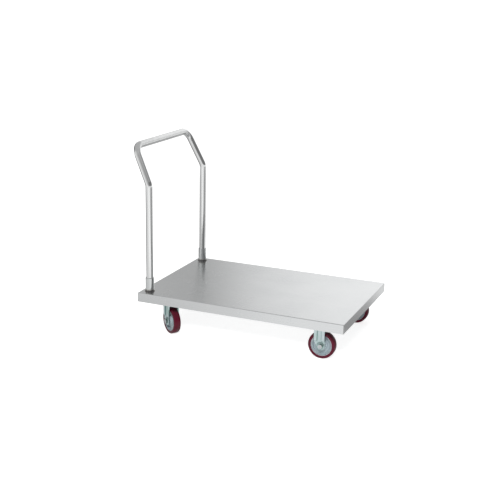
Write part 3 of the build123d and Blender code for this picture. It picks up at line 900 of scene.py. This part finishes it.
def lathe(name, corners, joint, material):
    """Turn a millimetre outline about a wheel joint's axis, keeping the wheel's coordinates."""
    outline = rounded_outline(corners)
    own = []
    for step in range(LATHE_STEPS):
        angle = 2 * math.pi * step / LATHE_STEPS
        for point in outline:
            radius = point.x * MM
            own.append(Vector((radius * math.cos(angle), radius * math.sin(angle), point.y * MM)))
    count = len(outline)
    faces = []
    for step in range(LATHE_STEPS):
        here = step * count
        there = (step + 1) % LATHE_STEPS * count
        for index in range(count):
            after = (index + 1) % count
            faces.append((here + index, there + index, there + after, here + after))
    turn = Vector(joint["axis"]).to_track_quat("Z", "X").to_matrix().to_4x4()
    place = Matrix.Translation(joint["pos_m"]) @ turn
    mesh = bpy.data.meshes.new(name)
    mesh.from_pydata([place @ point for point in own], [], faces)
    mesh.materials.append(material)
    face_outwards(mesh)
    mesh.shade_smooth()
    mesh.set_sharp_from_angle(angle=math.radians(SHARP_DEGREES))
    layer = mesh.attributes.new("wheel_place", "FLOAT_VECTOR", "POINT")
    back = place.inverted()
    for vertex in mesh.vertices:
        layer.data[vertex.index].vector = back @ vertex.co
    return link_mesh(name, mesh)


# The tread's half outline, from the bond to the parting line, in millimetres
TREAD_HALF = [
    (49.05, 0.0, 0), (49.05, 16.4, 0.3), (49.9, 16.4, 0.2), (50.5, 17.0, 0.3),
    (55.5, 17.0, 2.0), (62.0, 15.6, 3.6), (62.3, 0.9, 0), (62.5, 0.5, 0)]
# The core's half outline, from its middle bore round the hub, web and rim
CORE_HALF = [
    (12.8, 0.0, 0), (12.8, 7.95, 0), (16.05, 7.95, 0), (16.05, 18.0, 0.3),
    (19.5, 18.0, 0.6), (20.4, 9.5, 1.0), (24.5, 8.2, 0.8), (25.6, 4.2, 1.2),
    (31.4, 4.2, 0.6), (32.0, 5.6, 0.5), (36.0, 5.6, 0.5), (36.6, 4.0, 0.8),
    (40.6, 4.0, 1.6), (42.4, 14.2, 0.6), (44.2, 14.2, 0.3), (44.5, 11.8, 0.2),
    (46.0, 11.8, 0.2), (46.4, 15.5, 0.4), (49.0, 15.5, 0.4)]
# Each wheel piece's name, half outline and slot
WHEEL_PIECES = (("tread", TREAD_HALF, "tread"), ("core", CORE_HALF, "wheel_core"))


def mirrored_outline(half):
    """The whole outline of a half and its mirror image on the other side of the wheel."""
    other = [(radius, -along, rounding) for radius, along, rounding in reversed(half)]
    return half + [corner for corner in other if corner[1] < 0]


def make_wheels():
    """Tread and core of each of the four wheels."""
    for joint in frame["joints"]:
        body = joint["child"]
        if not body.startswith("wheel_"):
            continue
        tag = body.removeprefix("wheel_")
        for name, half, slot in WHEEL_PIECES:
            piece = lathe(name + "_" + tag, mirrored_outline(half), joint, MATERIALS[slot])
            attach(piece, body)
            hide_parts("wheel_" + name + "_" + tag)


# Stage and light

FLOOR_REACH = 200.0
# Brightness of the studio in a reflection, as pairs of an angle from +X in degrees and a
# value: the floor near the cart, the floor further off, and the walls
NEAR_RING = (
    (-180, 0.6), (-145, 0.72), (-130, 0.73), (-122, 0.77), (-104, 0.85), (-88, 0.99),
    (-74, 1.02), (-60, 1.05), (-22, 0.9), (0, 0.5), (15, 0.34), (30, 0.4), (38, 0.5),
    (51, 1.0), (80, 0.8), (120, 0.6), (180, 0.6))
FAR_RING = (
    (-180, 0.25), (-165, 0.5), (-150, 0.8), (-125, 0.78), (-114, 0.86), (-95, 1.08),
    (-64, 1.2), (-50, 1.12), (-40, 0.88), (-28, 0.58), (-14, 0.42), (0, 0.36), (30, 0.34),
    (50, 0.45), (65, 0.7), (80, 0.4), (104, 0.46), (115, 0.6), (130, 0.5), (150, 0.25),
    (180, 0.25))
WALL_RING = (
    (-180, 0.2), (-165, 0.3), (-145, 0.8), (-110, 0.7), (-82, 0.5), (-60, 0.3), (-30, 0.18),
    (10, 0.18), (45, 0.18), (54, 0.4), (62, 0.8), (80, 1.1), (101, 1.15), (106, 1.08),
    (110, 0.98), (112.5, 0.88), (114.5, 0.41), (116, 0.36), (119, 0.56), (130, 0.5),
    (148, 0.2), (180, 0.2))
# Distances from the cart's middle at which one ring gives way to the next
NEAR_END = 1.05
FAR_START = 1.35
FAR_END = 3.2
HORIZON_START = 4.6
# The upward part of a direction at which the walls give way to the ceiling
CEILING_LOW = 0.4
CEILING_HIGH = 0.62
CEILING = 0.5
WORLD_LIGHT = 0.22
# The floor's colour in the picture and in the light that it sends back, the glow that keeps
# it white, and the share of a reflection that the rings paint
FLOOR_SEEN = grey(0.8)
FLOOR_SOAKED = grey(0.35)
FLOOR_BOUNCE = 0.7
NEAR_GLOW = 0.79
GLOW_START = 0.8
GLOW_END = 3.0
RING_SHARE = 0.9
# Each lamp's name, place, target, width, height and watts
LAMPS = (
    ("key", (0.9, -3.2, 2.7), (0, 0, 0.1), 1.6, 1.0, 104),
    ("top", (-0.3, 0.4, 3.6), (0, 0, 0.2), 3.0, 3.0, 40))


def studio_ring_group(name, ring):
    """Brightness of the studio for a horizontal direction."""
    group, tree, given, end = new_group(
        name, [("Direction", VECTOR, None)], [("Brightness", FLOAT)])
    apart = tree.parts(given["Direction"])
    angle = tree.math("ARCTAN2", apart["Y"], apart["X"])
    share = tree.ramp(angle, -math.pi, math.pi, smooth=False)
    stops = [((degrees + 180) / 360, value) for degrees, value in ring]
    tree.put(tree.stops(share, stops), end["Brightness"])
    return group


def floor_material(near, far):
    """White to the camera, with the cart's shadow, and the studio's flags in reflections."""
    material, tree, end = empty_material("studio_floor")
    place = tree.add("ShaderNodeTexCoord").outputs["Object"]
    distance = tree.vector("LENGTH", place)
    path = tree.add("ShaderNodeLightPath").outputs
    camera = path["Is Camera Ray"]
    colour = tree.mix(camera, FLOOR_SOAKED, FLOOR_SEEN)
    diffuse = tree.add("ShaderNodeBsdfDiffuse", {"Color": colour})
    lift = tree.times(camera, tree.ramp(distance, GLOW_START, GLOW_END, NEAR_GLOW, 1.0))
    bounce = tree.times(path["Is Diffuse Ray"], FLOOR_BOUNCE)
    glow = tree.add("ShaderNodeEmission", {"Color": WHITE, "Strength": tree.plus(lift, bounce)})
    shown = tree.add("ShaderNodeAddShader")
    tree.put(diffuse.outputs[0], shown.inputs[0])
    tree.put(glow.outputs[0], shown.inputs[1])
    rings = [tree.use(ring, direction=place)["Brightness"] for ring in (near, far)]
    flags = tree.mix(tree.ramp(distance, NEAR_END, FAR_START), *rings)
    flags = tree.mix(tree.ramp(distance, FAR_END, HORIZON_START), flags, WHITE)
    mirror = tree.add("ShaderNodeEmission", {"Color": WHITE, "Strength": flags})
    painted = tree.times(path["Is Glossy Ray"], RING_SHARE)
    both = tree.add("ShaderNodeMixShader", {"Fac": painted})
    tree.put(shown.outputs[0], both.inputs[1])
    tree.put(mirror.outputs[0], both.inputs[2])
    tree.put(both.outputs[0], end["Surface"])
    return material


def make_floor(near, far):
    """The wide flat floor."""
    mesh = bpy.data.meshes.new("floor")
    reach = FLOOR_REACH
    corners = [(-reach, -reach, 0), (reach, -reach, 0), (reach, reach, 0), (-reach, reach, 0)]
    mesh.from_pydata(corners, [], [(0, 1, 2, 3)])
    mesh.materials.append(floor_material(near, far))
    link_mesh("floor", mesh)


def make_world(ring):
    """White behind the floor, the studio's walls in reflections, plain light otherwise."""
    world = bpy.data.worlds.new("studio")
    bpy.context.scene.world = world
    world.use_nodes = True
    world.node_tree.nodes.clear()
    tree = Tree(world.node_tree)
    direction = tree.add("ShaderNodeTexCoord").outputs["Generated"]
    walls = tree.use(ring, direction=direction)["Brightness"]
    ceiling = tree.ramp(tree.parts(direction)["Z"], CEILING_LOW, CEILING_HIGH)
    seen = tree.plus(tree.times(walls, tree.inverse(ceiling)), tree.times(ceiling, CEILING))
    path = tree.add("ShaderNodeLightPath").outputs
    glossy = path["Is Glossy Ray"]
    white = tree.math("MAXIMUM", path["Is Camera Ray"], path["Is Transmission Ray"])
    strength = tree.plus(tree.times(glossy, seen), white)
    other = tree.inverse(tree.plus(glossy, white))
    strength = tree.plus(strength, tree.times(other, WORLD_LIGHT))
    back = tree.add("ShaderNodeBackground", {"Color": WHITE, "Strength": strength})
    output = tree.add("ShaderNodeOutputWorld")
    tree.put(back.outputs[0], output.inputs["Surface"])


def softbox(name, place, target, width, height, watts):
    """A rectangular area lamp that faces its target and stays out of reflections."""
    data = bpy.data.lights.new(name, "AREA")
    data.shape = "RECTANGLE"
    data.size = width
    data.size_y = height
    data.energy = watts
    lamp = bpy.data.objects.new(name, data)
    bpy.context.scene.collection.objects.link(lamp)
    lamp.visible_glossy = False
    turn = (Vector(target) - Vector(place)).to_track_quat("-Z", "Y")
    lamp.matrix_world = Matrix.Translation(place) @ turn.to_matrix().to_4x4()


make_camera()
make_world(studio_ring_group("studio_walls", WALL_RING))
make_floor(studio_ring_group("studio_floor_near", NEAR_RING),
           studio_ring_group("studio_floor_far", FAR_RING))
for lamp in LAMPS:
    softbox(*lamp)
paint_nodes()
bead_tree = weld_bead_tree()
make_handle(bent_tube_tree())
make_wheels()
frame_welds(bead_tree)
for side_name in SIDES:
    collar_weld(bead_tree, side_name)
    fork_welds(bead_tree, side_name)

bpy.context.scene.view_settings.view_transform = "Standard"
